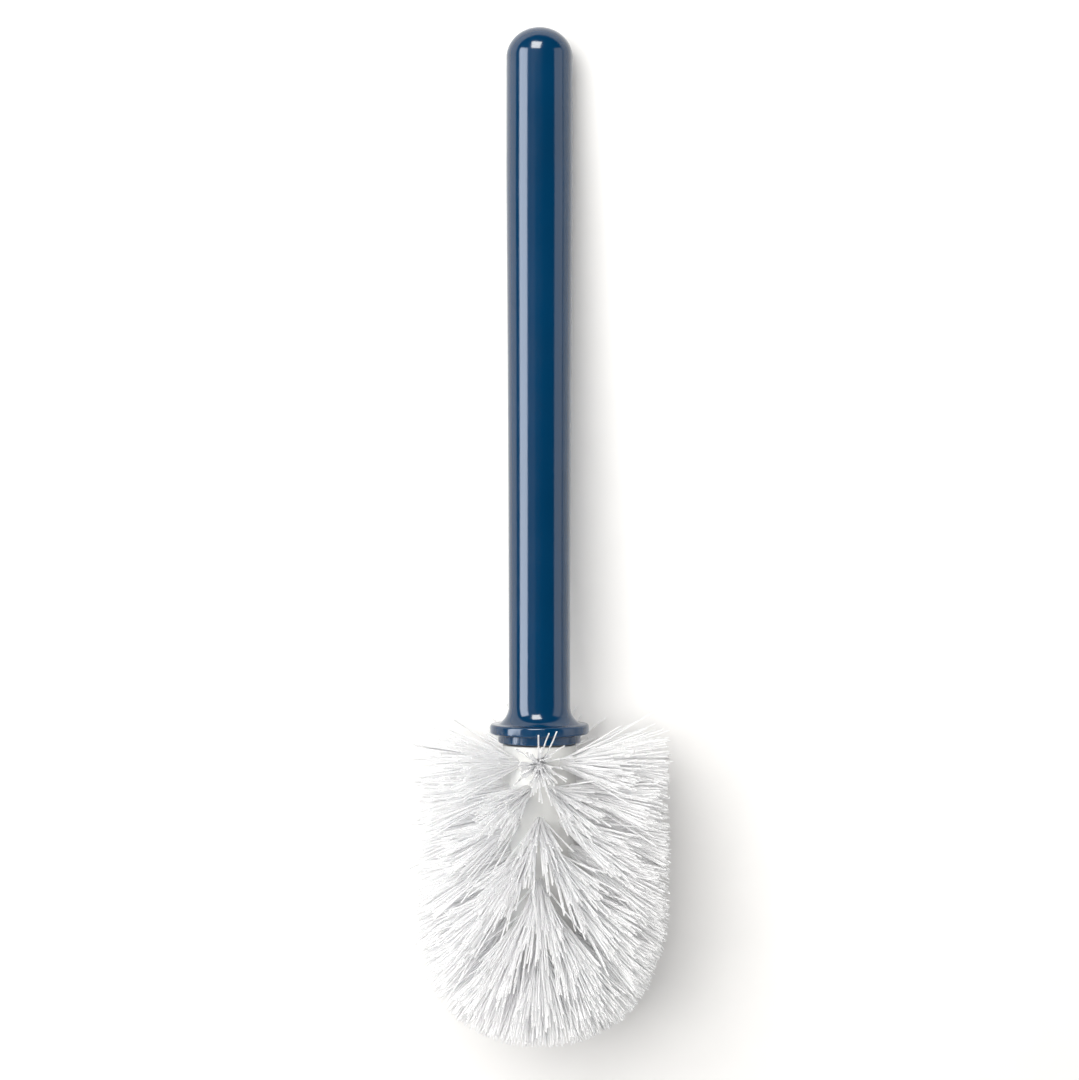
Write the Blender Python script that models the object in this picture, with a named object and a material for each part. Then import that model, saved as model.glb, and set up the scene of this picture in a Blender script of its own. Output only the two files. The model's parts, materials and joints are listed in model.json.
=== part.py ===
"""Toilet brush with a screw-off bristle head, lying at rest on a flat surface.

Every piece is modelled upright along the brush's own axis, with Z measured from the lowest bristle
tips towards the handle's domed end. One empty then lays the whole brush down on its handle's end
and its bristle tips, as it lies on a table, with the head towards -Y.
"""

import math

import bmesh
import bpy
import numpy as np
from mathutils import Matrix, Vector

MM = 0.001
GAP = 0.3 * MM  # running gap between two touching pieces

# Heights along the brush's axis, from the lowest bristle tips up
BRUSH_LENGTH = 360.0 * MM
FLARE_TOP = 119.5 * MM
FLANGE_TOP = 113.3 * MM
FLANGE_UNDERSIDE = 109.75 * MM
RING_UNDERSIDE = 106.7 * MM

# Handle moulding
HANDLE_RADIUS = 11.75 * MM
NECK_RADIUS = 10.9 * MM
FLARE_RADIUS = 14.6 * MM
FLANGE_RADIUS = 17.5 * MM
RING_RADIUS = 14.6 * MM
EDGE_RADIUS = 0.9 * MM
DOME_HEIGHT = 10.6 * MM
HANDLE_WALL = 2.3 * MM
STRAIGHT_GRIP = 45.0 * MM  # the part below the dome that doesn't taper
SOCKET_BORE = 8.9 * MM
SEAL_BORE = 10.2 * MM
HANDLE_SIDES = 40

# Screw joint between head and handle
THREAD_PITCH = 3.0 * MM
THREAD_MEAN_RADIUS = 5.9 * MM
THREAD_HEIGHT = 0.6 * MM  # from the mean radius to the crest
THREAD_CLEARANCE = 0.4 * MM
THREAD_SIDES = 24
ROWS_PER_PITCH = 6
STUD_LENGTH = 16.0 * MM
STUD_NECK_LENGTH = 2.2 * MM
STUD_NECK_RADIUS = 5.2 * MM
SOCKET_LENGTH = 19.0 * MM

# Sealing ring
SEAL_OUTER_RADIUS = 9.9 * MM
SEAL_INNER_RADIUS = 7.0 * MM
SEAL_THICKNESS = 1.3 * MM

# Bristle head
CORE_RADIUS = 13.0 * MM
COLLAR_TOP = RING_UNDERSIDE - 2 * GAP
DOME_CENTRE = 35.0 * MM
HOLE_RADIUS = 2.25 * MM
HOLE_DEPTH = 5.0 * MM
HOLE_SIDES = 12
CUTTER_PROUD = 3.0 * MM  # how far a hole's cutter stands out of the core
TUFTS_PER_ROW = 9
TOP_ROW = 100.3 * MM
SECOND_ROW = 90.9 * MM
ROW_PITCH = 10.8 * MM
ROW_DROOP_DEG = (0, 9, 15, 20, 25, 32)  # how far each row points below square, top row first
LAST_ROW_DROOP_DEG = 45
END_RING_TUFTS = 6
END_RING_LATITUDE_DEG = 38
END_RING_DROOP_DEG = 62
END_ROOT_LENGTH = 12.0 * MM  # of the end tufts' roots, out to where their filaments mingle
END_BOWL_RADIUS = 20.0 * MM
END_BOWL_RIM_DEG = -3
END_BOWL_SIDES = 36
TIP_RADIUS = 45.6 * MM  # from the axis to the trimmed tips
END_CURVE_HEIGHT = 53.2 * MM  # the tips' outline is straight above this and rounded below it
END_CURVE_POWER = 2.25  # of the superellipse that rounds it
TUFT_RADIUS = HOLE_RADIUS - GAP
TUFT_NECK = 1.2 * MM  # from the root to where the tuft starts to spread
TUFT_SPREAD = math.tan(math.radians(11))
TUFT_SIDES = 10

BLUE = (0.0, 0.075, 0.19, 1.0)
WHITE = (0.82, 0.82, 0.84, 1.0)
BLACK = (0.02, 0.02, 0.02, 1.0)
GREY = (0.35, 0.36, 0.38, 1.0)


def clear_scene():
    for thing in list(bpy.data.objects):
        bpy.data.objects.remove(thing, do_unlink=True)


def plastic(name, colour, roughness):
    material = bpy.data.materials.new(name)
    material.use_nodes = True
    shader = material.node_tree.nodes["Principled BSDF"]
    shader.inputs["Base Color"].default_value = colour
    shader.inputs["Roughness"].default_value = roughness
    shader.inputs["Metallic"].default_value = 0.0
    return material


def add_piece(name, mesh, material, axis_empty, sharp_angle=35):
    piece = bpy.data.objects.new(name, mesh)
    bpy.context.collection.objects.link(piece)
    piece.parent = axis_empty
    mesh.materials.append(material)
    mesh.shade_smooth()
    mesh.set_sharp_from_angle(angle=math.radians(sharp_angle))
    return piece


def surface_mesh(name, rings, closed_profile=False):
    """Join rings of points, each the same way round, into a closed mesh. A ring of one point is a pole."""
    mesh = bmesh.new()
    made = [[mesh.verts.new(point) for point in ring] for ring in rings]
    pairs = list(zip(made, made[1:]))
    if closed_profile:
        pairs.append((made[-1], made[0]))
    for upper, lower in pairs:
        sides = max(len(upper), len(lower))
        for i in range(sides):
            j = (i + 1) % sides
            corners = [upper[i % len(upper)], lower[i % len(lower)], lower[j % len(lower)], upper[j % len(upper)]]
            mesh.faces.new(list(dict.fromkeys(corners)))
    data = bpy.data.meshes.new(name)
    mesh.to_mesh(data)
    mesh.free()
    return data


def turned(profile, sides):
    """Rings of points for a profile of (radius, height) points turned about Z."""
    rings = []
    for radius, height in profile:
        count = sides if radius > 1e-6 else 1
        turns = [2 * math.pi * i / sides for i in range(count)]
        rings.append([(radius * math.cos(a), radius * math.sin(a), height) for a in turns])
    return rings


def arc(centre_radius, centre_height, radius, start_deg, end_deg, steps, squash=1.0):
    """Points of an arc in the profile plane, 0 degrees pointing outwards and 90 up, squashed in height."""
    points = []
    for i in range(steps + 1):
        angle = math.radians(start_deg + (end_deg - start_deg) * i / steps)
        height = centre_height + squash * radius * math.sin(angle)
        points.append((centre_radius + radius * math.cos(angle), height))
    return points


def handle_outline():
    """Outer profile of the handle, from the top of its dome down to the locating ring's underside."""
    dome_centre = BRUSH_LENGTH - DOME_HEIGHT
    outline = arc(0, dome_centre, HANDLE_RADIUS, 90, 0, 7, DOME_HEIGHT / HANDLE_RADIUS)
    taper_top = dome_centre - STRAIGHT_GRIP
    for i in range(5):
        share = i / 4
        radius = HANDLE_RADIUS + (NECK_RADIUS - HANDLE_RADIUS) * math.sin(share * math.pi / 2)
        outline.append((radius, taper_top + (FLARE_TOP - taper_top) * share))
    flare_width = FLARE_RADIUS - NECK_RADIUS
    flare_height = FLARE_TOP - FLANGE_TOP
    flare_turn = 2 * math.degrees(math.atan2(flare_width, flare_height))
    flare_arc_radius = flare_height / math.sin(math.radians(flare_turn))
    outline += arc(NECK_RADIUS + flare_arc_radius, FLARE_TOP, flare_arc_radius, 180, 180 + flare_turn, 6)[1:]
    outline += arc(FLANGE_RADIUS - EDGE_RADIUS, FLANGE_TOP - EDGE_RADIUS, EDGE_RADIUS, 90, 0, 2)
    outline += arc(FLANGE_RADIUS - EDGE_RADIUS, FLANGE_UNDERSIDE + EDGE_RADIUS, EDGE_RADIUS, 0, -90, 2)
    outline.append((RING_RADIUS, FLANGE_UNDERSIDE))
    ring_edge = EDGE_RADIUS / 2
    outline += arc(RING_RADIUS - ring_edge, RING_UNDERSIDE + ring_edge, ring_edge, 0, -90, 2)
    return outline


def handle_shell_mesh():
    """A hollow moulding, open at the bottom, with bores for the seal and the threaded insert."""
    dome_centre = BRUSH_LENGTH - DOME_HEIGHT
    seal_seat = COLLAR_TOP + GAP + SEAL_THICKNESS + GAP
    socket_stop = seal_seat + GAP + SOCKET_LENGTH + GAP
    cavity_radius = HANDLE_RADIUS - HANDLE_WALL
    profile = handle_outline()
    profile += [(SEAL_BORE, RING_UNDERSIDE), (SEAL_BORE, seal_seat), (SOCKET_BORE, seal_seat)]
    profile += [(SOCKET_BORE, socket_stop), (SOCKET_BORE - 0.5 * MM, socket_stop)]
    profile.append((SOCKET_BORE - 0.5 * MM, socket_stop + 8 * MM))
    profile += arc(0, dome_centre, cavity_radius, 0, 90, 5, (DOME_HEIGHT - HANDLE_WALL) / cavity_radius)
    return surface_mesh("handle_shell", turned(profile, HANDLE_SIDES))


def thread_rings(low, high, mean_radius):
    """Rings from high down to low whose radius follows a right-handed round thread."""
    rows = round((high - low) / THREAD_PITCH * ROWS_PER_PITCH)
    rings = []
    for row in range(rows + 1):
        height = high + (low - high) * row / rows
        ring = []
        for i in range(THREAD_SIDES):
            turn = 2 * math.pi * i / THREAD_SIDES
            radius = mean_radius + THREAD_HEIGHT * math.cos(2 * math.pi * height / THREAD_PITCH - turn)
            ring.append((radius * math.cos(turn), radius * math.sin(turn), height))
        rings.append(ring)
    return rings


def thread_socket_mesh():
    """The insert: a sleeve with the female thread inside, chamfered at both ends."""
    low = COLLAR_TOP + GAP + SEAL_THICKNESS + GAP + GAP
    high = low + SOCKET_LENGTH
    outer_radius = SOCKET_BORE - GAP
    chamfer = 0.5 * MM
    crest = THREAD_MEAN_RADIUS + THREAD_CLEARANCE + THREAD_HEIGHT
    outside = [
        (crest, high),
        (outer_radius - chamfer, high),
        (outer_radius, high - chamfer),
        (outer_radius, low + chamfer),
        (outer_radius - chamfer, low),
        (crest, low),
    ]
    inside = thread_rings(low + chamfer, high - chamfer, THREAD_MEAN_RADIUS + THREAD_CLEARANCE)
    rings = turned(outside, THREAD_SIDES) + inside[::-1]
    return surface_mesh("thread_socket", rings, closed_profile=True)


def sealing_ring_mesh():
    """A flat rubber washer with eased edges, on the neck of the threaded stud."""
    low = COLLAR_TOP + GAP
    high = low + SEAL_THICKNESS
    ease = 0.25 * MM
    profile = [
        (SEAL_INNER_RADIUS, high),
        (SEAL_OUTER_RADIUS - ease, high),
        (SEAL_OUTER_RADIUS, high - ease),
        (SEAL_OUTER_RADIUS, low + ease),
        (SEAL_OUTER_RADIUS - ease, low),
        (SEAL_INNER_RADIUS, low),
    ]
    return surface_mesh("sealing_ring", turned(profile, 32), closed_profile=True)


def core_body_mesh():
    """The head's solid body: threaded stud, collar, straight barrel and domed end."""
    stud_top = COLLAR_TOP + STUD_LENGTH
    thread_low = COLLAR_TOP + STUD_NECK_LENGTH + 0.6 * MM
    tip_chamfer = 0.8 * MM
    root_radius = THREAD_MEAN_RADIUS - THREAD_HEIGHT
    rings = turned([(0, stud_top), (root_radius - 0.3 * MM, stud_top)], THREAD_SIDES)
    rings += thread_rings(thread_low, stud_top - tip_chamfer, THREAD_MEAN_RADIUS)
    neck = [(STUD_NECK_RADIUS, COLLAR_TOP + STUD_NECK_LENGTH), (STUD_NECK_RADIUS, COLLAR_TOP)]
    rings += turned(neck, THREAD_SIDES)
    edge = 0.4 * MM
    barrel = arc(CORE_RADIUS - edge, COLLAR_TOP - edge, edge, 90, 0, 2)
    barrel += arc(0, DOME_CENTRE, CORE_RADIUS, 0, -90, 9)
    rings += turned(barrel, THREAD_SIDES)
    return surface_mesh("brush_core", rings)


def outline_radius(height):
    """Distance from the axis to the trimmed tips at a height."""
    if height >= END_CURVE_HEIGHT:
        return TIP_RADIUS
    share = min(1.0, (END_CURVE_HEIGHT - height) / END_CURVE_HEIGHT)
    return TIP_RADIUS * (1 - share**END_CURVE_POWER) ** (1 / END_CURVE_POWER)


def trim_length(radius, height, droop):
    """How far a line in the profile plane runs from (radius, height) to the tips' outline."""
    near, far = 0.0, 0.1
    for _ in range(40):
        middle = (near + far) / 2
        reach = radius + middle * math.cos(droop)
        level = height - middle * math.sin(droop)
        inside = level > 0 and reach < outline_radius(level)
        near, far = (middle, far) if inside else (near, middle)
    return near


def trim_normal(radius, height):
    """Outward normal, in the profile plane, of the tips' outline at one of its points."""
    if height >= END_CURVE_HEIGHT:
        return 1.0, 0.0
    power = END_CURVE_POWER - 1
    across = (radius / TIP_RADIUS) ** power / TIP_RADIUS
    down = ((END_CURVE_HEIGHT - height) / END_CURVE_HEIGHT) ** power / END_CURVE_HEIGHT
    length = math.hypot(across, down)
    return across / length, -down / length


def row_height(row):
    """Height of the holes in one row; the first row sits a little closer to the second."""
    return SECOND_ROW - (row - 1) * ROW_PITCH if row else TOP_ROW


def row_tufts():
    """Name, turn about the axis, radius, height and droop of each tuft's root in the six full rows."""
    for row, droop in enumerate(ROW_DROOP_DEG):
        for i in range(TUFTS_PER_ROW):
            turn = 2 * math.pi * (i + (row % 2) / 2) / TUFTS_PER_ROW
            yield f"tuft_row{row + 1}_{i + 1}", turn, CORE_RADIUS, row_height(row), math.radians(droop)


def end_tufts():
    """The same for the tufts round the head's domed end, from the seventh row in to the centre."""
    last_height = row_height(len(ROW_DROOP_DEG))
    for i in range(TUFTS_PER_ROW):
        turn = 2 * math.pi * i / TUFTS_PER_ROW
        yield f"end_row_{i + 1}", turn, CORE_RADIUS, last_height, math.radians(LAST_ROW_DROOP_DEG)
    latitude = math.radians(END_RING_LATITUDE_DEG)
    ring_radius = CORE_RADIUS * math.cos(latitude)
    ring_height = DOME_CENTRE - CORE_RADIUS * math.sin(latitude)
    for i in range(END_RING_TUFTS):
        turn = 2 * math.pi * (i + 0.5) / END_RING_TUFTS
        yield f"end_ring_{i + 1}", turn, ring_radius, ring_height, math.radians(END_RING_DROOP_DEG)
    yield "end_centre", 0.0, 0.0, DOME_CENTRE - CORE_RADIUS, math.pi / 2


def tuft_frame(turn, radius, height, droop):
    """A matrix at a tuft's root whose -Y points out along the tuft and whose X lies across it."""
    return Matrix.Rotation(turn, 4, "Z") @ Matrix.Translation((0, -radius, height)) @ Matrix.Rotation(droop, 4, "X")


def across_circle(sides, radius, along):
    """A circle of points across a tuft, at a distance along it, with a flat towards the handle."""
    turns = [2 * math.pi * (i + 0.5) / sides for i in range(sides)]
    return [Vector((radius * math.sin(a), -along, radius * math.cos(a))) for a in turns]


def tuft_mesh(name, turn, radius, height, droop):
    """The bundle of filaments as one solid: a straight root in its hole, then a cone up to the tips."""
    place = tuft_frame(turn, radius, height, droop)
    length = trim_length(radius, height, droop)
    end_radius = radius + length * math.cos(droop)
    end_height = height - length * math.sin(droop)
    normal_out, normal_up = trim_normal(end_radius, end_height)
    normal = Matrix.Rotation(turn, 4, "Z") @ Vector((0, -normal_out, normal_up))
    end = place @ Vector((0, -length, 0))
    bottom = [place @ p for p in across_circle(TUFT_SIDES, TUFT_RADIUS, GAP - HOLE_DEPTH)]
    mouth = [place @ p for p in across_circle(TUFT_SIDES, TUFT_RADIUS, TUFT_NECK)]
    tips = []
    for start, flat in zip(mouth, across_circle(TUFT_SIDES, TUFT_SPREAD, 1.0)):
        heading = place.to_3x3() @ flat
        tips.append(start + heading * ((end - start).dot(normal) / heading.dot(normal)))
    return surface_mesh(name, [[place @ Vector((0, HOLE_DEPTH - GAP, 0))], bottom, mouth, tips, [end]])


def drum_mesh(name, place, sides, radius, low, high):
    """A closed drum along a tuft's line, from one distance past its hole's mouth to another."""
    ends = [[place @ Vector((0, -low, 0))], [place @ Vector((0, -high, 0))]]
    rims = [[place @ p for p in across_circle(sides, radius, along)] for along in (low, high)]
    return surface_mesh(name, [ends[0], rims[0], rims[1], ends[1]])


def combine(piece, name, mesh, operation, axis_empty):
    """Cut a helper object with this mesh out of a piece, or join it on."""
    helper = bpy.data.objects.new(name, mesh)
    bpy.context.collection.objects.link(helper)
    helper.parent = axis_empty
    helper.hide_render = True
    helper.display_type = "WIRE"
    modifier = piece.modifiers.new(name, "BOOLEAN")
    modifier.operation = operation
    modifier.object = helper


def end_bowl_mesh():
    """Where the end tufts' filaments mingle: from a sphere round the core's end out to the trimmed tips."""
    inside = arc(0, DOME_CENTRE, END_BOWL_RADIUS, -90, END_BOWL_RIM_DEG, 10)
    rim_radius, rim_height = inside[-1]
    droop = math.radians((LAST_ROW_DROOP_DEG + ROW_DROOP_DEG[-1]) / 2)
    length = trim_length(rim_radius, rim_height, droop)
    top = rim_height - length * math.sin(droop)
    outside = []
    for i in range(13):
        height = top * math.cos(math.pi / 2 * i / 12)
        outside.append((outline_radius(height) if i < 12 else 0.0, height))
    return surface_mesh("tufts_end", turned(inside + outside, END_BOWL_SIDES))


def add_end_tufts(material, axis_empty):
    """The domed end's tufts as one solid, because the filaments at their tips mingle."""
    piece = add_piece("tufts_end", end_bowl_mesh(), material, axis_empty)
    for name, *numbers in end_tufts():
        root = drum_mesh(name, tuft_frame(*numbers), TUFT_SIDES, TUFT_RADIUS, GAP - HOLE_DEPTH, END_ROOT_LENGTH)
        combine(piece, name, root, "UNION", axis_empty)
    return piece


def drill_tuft_holes(core, axis_empty):
    """Cut one blind hole for each tuft out of the core, each with a cutter of its own."""
    for name, *numbers in [*row_tufts(), *end_tufts()]:
        name = "hole_" + name
        cutter = drum_mesh(name, tuft_frame(*numbers), HOLE_SIDES, HOLE_RADIUS, -HOLE_DEPTH, CUTTER_PROUD)
        combine(core, name, cutter, "DIFFERENCE", axis_empty)


def lowest_point(points, lean):
    """Lowest level of upright points once the brush is laid down and leans by an angle."""
    levels = points[:, 2] * -math.sin(lean) - points[:, 1] * math.cos(lean)
    return levels.min()


def resting_lean(handle, tufts):
    """The angle between the brush's axis and the floor when handle and tufts both touch it."""
    handle_points = np.array([v.co for v in handle.data.vertices])
    tuft_points = np.array([v.co for tuft in tufts for v in tuft.data.vertices])
    low, high = 0.0, math.radians(30)
    for _ in range(50):
        lean = (low + high) / 2
        head_is_lower = lowest_point(tuft_points, lean) < lowest_point(handle_points, lean)
        low, high = (lean, high) if head_is_lower else (low, lean)
    return lean


def lay_down(axis_empty, handle, tufts):
    """Turn the axis's empty so that the brush lies on the floor, and centre the brush on the origin."""
    lean = resting_lean(handle, tufts)
    turn = Matrix.Rotation(-(math.pi / 2 + lean), 4, "X")
    points = np.array([turn @ v.co for piece in [handle, *tufts] for v in piece.data.vertices])
    low, high = points.min(axis=0), points.max(axis=0)
    axis_empty.rotation_euler = (-(math.pi / 2 + lean), 0, 0)
    axis_empty.location = (-(low[0] + high[0]) / 2, -(low[1] + high[1]) / 2, -low[2])


def main():
    clear_scene()
    axis_empty = bpy.data.objects.new("brush_axis", None)
    bpy.context.collection.objects.link(axis_empty)

    blue = plastic("blue_abs", BLUE, 0.08)
    white = plastic("white_polypropylene", WHITE, 0.35)
    bristle = plastic("bristle", WHITE, 0.4)
    rubber = plastic("black_rubber", BLACK, 0.6)
    insert = plastic("grey_nylon", GREY, 0.4)

    handle = add_piece("handle_shell", handle_shell_mesh(), blue, axis_empty)
    add_piece("thread_socket", thread_socket_mesh(), insert, axis_empty)
    add_piece("sealing_ring", sealing_ring_mesh(), rubber, axis_empty)
    core = add_piece("brush_core", core_body_mesh(), white, axis_empty)
    tufts = []
    for name, *place in row_tufts():
        tufts.append(add_piece(name, tuft_mesh(name, *place), bristle, axis_empty))
    tufts.append(add_end_tufts(bristle, axis_empty))
    drill_tuft_holes(core, axis_empty)
    lay_down(axis_empty, handle, tufts)


main()
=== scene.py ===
"""Toilet brush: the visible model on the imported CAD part's bodies.

Everything is made in the brush's own frame, with Z along its axis from the lowest bristle tips up to
the handle's domed end and -Y facing up off the floor. One matrix, taken from the screw joint, lays it
down where the CAD part lies.
"""

import json
import math

import bpy
import numpy as np
from bpy.props import FloatProperty, FloatVectorProperty, IntProperty, PointerProperty
from mathutils import Matrix, Vector


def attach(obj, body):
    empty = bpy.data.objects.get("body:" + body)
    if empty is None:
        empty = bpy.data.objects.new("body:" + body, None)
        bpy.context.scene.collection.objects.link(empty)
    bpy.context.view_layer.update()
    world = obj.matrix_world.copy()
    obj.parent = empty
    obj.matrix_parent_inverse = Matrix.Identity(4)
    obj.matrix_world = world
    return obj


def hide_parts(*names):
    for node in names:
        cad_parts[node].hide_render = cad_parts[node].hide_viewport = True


bl_info = {
    "name": "Toilet Brush Builder",
    "version": (1, 0, 0),
    "blender": (4, 5, 0),
    "location": "3D View > Sidebar > Toilet Brush",
    "description": "Makes the handle, seals, core and bristles of a screw-together toilet brush",
    "category": "Add Mesh",
}

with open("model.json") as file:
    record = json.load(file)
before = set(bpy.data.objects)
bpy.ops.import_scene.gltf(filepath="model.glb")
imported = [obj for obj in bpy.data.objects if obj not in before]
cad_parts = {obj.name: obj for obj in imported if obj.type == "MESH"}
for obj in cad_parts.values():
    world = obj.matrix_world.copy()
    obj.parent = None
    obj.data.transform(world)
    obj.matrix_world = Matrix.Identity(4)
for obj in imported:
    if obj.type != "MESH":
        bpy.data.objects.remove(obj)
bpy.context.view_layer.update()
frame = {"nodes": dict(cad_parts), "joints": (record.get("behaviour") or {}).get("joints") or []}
SCREW = next(joint for joint in frame["joints"] if joint["name"] == "head_unscrew")

MM = 0.001
GAP = 0.3 * MM  # between neighbouring pieces
TURN = 2 * math.pi

# Heights along the brush's axis
BRUSH_LENGTH = 360.0 * MM
FLARE_TOP = 119.5 * MM
FLANGE_TOP = 113.3 * MM
FLANGE_UNDERSIDE = 109.75 * MM
RING_UNDERSIDE = 106.7 * MM
COLLAR_TOP = RING_UNDERSIDE - 2 * GAP
CORE_DOME_CENTRE = 35.0 * MM
BRUSH_MIDDLE = 178.4 * MM

# Handle moulding
STRAIGHT_GRIP = 45.0 * MM
HANDLE_WALL = 2.3 * MM
RING_CORNER = 0.4 * MM
BORE_LEAD_IN = 0.3 * MM
SOCKET_SHOULDER = 0.5 * MM
SHOULDER_LENGTH = 8.0 * MM

# The mould's two halves meet in a plane a few degrees off square to the floor
PARTING_DEG = (-84.4, 95.6)
PARTING_HALF_WIDTH = 0.16 * MM
PARTING_PROUD = 0.07 * MM

# Threaded joint
THREAD_PITCH = 3.0 * MM
THREAD_MEAN_RADIUS = 5.9 * MM
THREAD_HEIGHT = 0.6 * MM  # from the mean radius to the crest
ROWS_PER_PITCH = 14
STUD_LENGTH = 16.0 * MM
STUD_NECK_LENGTH = 2.2 * MM
STUD_NECK_RADIUS = 5.2 * MM
COLLAR_EDGE = 0.5 * MM
SEAL_THICKNESS = 1.3 * MM
SEAL_INNER = 7.0 * MM
SEAL_OUTER = 9.9 * MM
SEAL_EASE = 0.3 * MM
SOCKET_LENGTH = 19.0 * MM
SOCKET_BORE = 8.9 * MM
SEAL_BORE = 10.2 * MM

# Tuft holes
TUFTS_PER_ROW = 9
TOP_ROW = 100.3 * MM
SECOND_ROW = 90.9 * MM
ROW_PITCH = 10.8 * MM
ROW_DROOP_DEG = (0, 9, 15, 20, 25, 32)
LAST_ROW_DROOP_DEG = 45
END_RING_TUFTS = 6
END_RING_LATITUDE_DEG = 38
END_RING_DROOP_DEG = 62
HOLE_RADIUS = 2.25 * MM
HOLE_DEPTH = 5.0 * MM
HOLE_SIDES = 20
HOLE_EASE_DEPTH = 0.35 * MM
HOLE_EASE = 0.9 * MM
HOLE_CUTTER_PROUD = 0.6 * MM

# Filaments
END_CURVE_HEIGHT = 53.2 * MM
END_CURVE_POWER = 2.25
GOLDEN_TURN = math.pi * (3 - math.sqrt(5))
STRAY_SHARE = 0.10
STRAY_LEAN = (1.3, 2.0)
MOST_LEAN = math.radians(30)  # from the tuft's middle line
FIRST_ROW_FAN = 2.4
END_SPREAD = 1.45
BEND_LENGTH = 33.0 * MM  # where a filament has bent aside by its full amount
LONGEST = 60.0 * MM
TRIAL_POINTS = 121
LONG_TIP_SHARE = 0.03
LONG_TIP = (0.2, 1.1)  # millimetres that the trimmer missed
FLOOR_CLEARANCE = 0.35 * MM
LOWEST_TIP = 0.4 * MM
TIP_MARGIN = 0.25 * MM
FILAMENT_SIDES = 5
FIRST_SEED = 400

# Filaments press together in the hole: each root is stouter than the free length past it, and the
# middle of a bundle is one solid strand that dies away inside it. Each has a ring of points at its
# buried end, one at the hole's mouth and four beyond
BURIED_END = -3.0 * MM
MOUTH = 0.6 * MM
RING_SHARES = np.array([0.22, 0.45, 0.72, 1.0])
ROOT_SWELL = np.array([1.6, 1.6, 1.2, 1.0, 1.0, 1.0])
MIDDLE_STATIONS = np.array([-3.0, 0.6, 4.0, 8.0, 12.0, 16.0]) * MM
MIDDLE_RADII = np.array([1.75, 1.75, 1.85, 1.8, 1.2, 0.3]) * MM

# Stage
FLOOR_RINGS = (0.3, 0.6, 0.9, 1.2, 1.6, 2.2)
FLOOR_SIDES = 96
FLOOR_FADE = (0.42, 1.1)
SURROUND_FILL = 0.35
DIFFUSE_BOUNCES = 10
CAMERA_DISTANCE = 0.732
CAMERA_LENS = 68.8
SENSOR_WIDTH = 36.0

# Name, degrees to the left of overhead, degrees towards the handle's end, distance, size, radiance,
# colour, whether gloss picks it up and whether it lights matt surfaces
LIGHTS = (
    ("left_panel", 61, 0, 1.05, (0.60, 1.5), 9.0, "#eef5ff", True, False),
    ("left_glow", 30, 0, 1.1, (0.55, 1.5), 0.32, "#f4f8ff", True, False),
    ("right_panel", -73, 0, 1.1, (0.68, 1.5), 1.5, "#fffaf4", True, False),
    ("end_box", 15, 50, 1.3, (0.62, 0.62), 15.0, "#fffdf8", True, False),
    ("soft_box", 16, 19, 1.4, (1.05, 1.05), 7.4, "#fffefb", False, True),
)


def linear_from_hex(code):
    """An sRGB hex colour as linear red, green and blue."""
    parts = [int(code[i : i + 2], 16) / 255 for i in (1, 3, 5)]
    return [c / 12.92 if c <= 0.04045 else ((c + 0.055) / 1.055) ** 2.4 for c in parts]


def colour_property(name, description, code):
    """A colour setting whose default is given in sRGB hex."""
    return FloatVectorProperty(
        name=name,
        description=description,
        default=linear_from_hex(code),
        subtype="COLOR",
        min=0.0,
        max=1.0,
    )


def length_property(name, description, millimetres):
    """A length setting whose default is given in millimetres."""
    length = millimetres * MM
    return FloatProperty(name=name, description=description, default=length, unit="LENGTH", min=0.0)


class BrushSizes(bpy.types.PropertyGroup):
    """Sizes that the pieces are made to"""

    handle_radius: length_property("Handle radius", "Radius of the grip below its dome", 11.75)
    neck_radius: length_property("Neck radius", "Radius where the grip meets the flare", 10.9)
    flare_radius: length_property("Flare radius", "Radius of the flare where it meets the flange", 14.6)
    flange_radius: length_property("Flange radius", "Radius of the flange that covers the holder", 17.5)
    ring_radius: length_property("Ring radius", "Radius of the locating ring under the flange", 14.6)
    edge_radius: length_property("Edge radius", "Rounding of the flange's edges", 0.9)
    dome_height: length_property("Dome height", "Height of the handle's domed end", 10.6)
    core_radius: length_property("Core radius", "Radius of the head's solid core", 13.0)
    tip_radius: length_property("Bristle radius", "Distance from the axis to the trimmed tips", 45.9)
    filament_diameter: length_property("Filament diameter", "Thickness of one bristle", 0.54)
    filaments_per_tuft: IntProperty(
        name="Filaments per tuft", description="Bristle ends in each hole", default=68, min=8, max=200
    )
    splay: FloatProperty(
        name="Splay",
        description="Angle at the edge of a tuft between its bristles and its middle line",
        default=math.radians(11.5),
        subtype="ANGLE",
        min=0.0,
        max=math.radians(60),
    )


class BrushColours(bpy.types.PropertyGroup):
    """Base colours of the pieces' materials and of the floor"""

    handle: colour_property("Handle", "Colour of the ABS handle", "#013254")
    head: colour_property("Head", "Colour of the polypropylene core", "#d2d2d0")
    bristle: colour_property("Bristle", "Colour of the bristles", "#fcfcfd")
    seal: colour_property("Seal", "Colour of the rubber sealing ring", "#1b1b1d")
    socket: colour_property("Socket", "Colour of the nylon insert", "#a9adb3")
    floor: colour_property("Floor", "Colour of the floor", "#f7f6f5")


# ---------------------------------------------------------------- frame


def brush_matrix():
    """The brush's own frame in the world: Z runs from the head to the handle along the screw axis."""
    up = -Vector(SCREW["axis"]).normalized()
    across = Vector((1, 0, 0))
    back = up.cross(across)
    place = Matrix((across, back, up)).transposed().to_4x4()
    place.translation = Vector(SCREW["pos_m"]) - up * COLLAR_TOP
    return place


BRUSH = brush_matrix()


def add_piece(name, mesh, body, nodes=()):
    """Link a mesh made in the brush's frame, lay it down and let it ride on a CAD body."""
    mesh.transform(BRUSH)
    piece = bpy.data.objects.new(name, mesh)
    bpy.context.scene.collection.objects.link(piece)
    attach(piece, body)
    if nodes:
        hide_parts(*nodes)
    return piece


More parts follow.
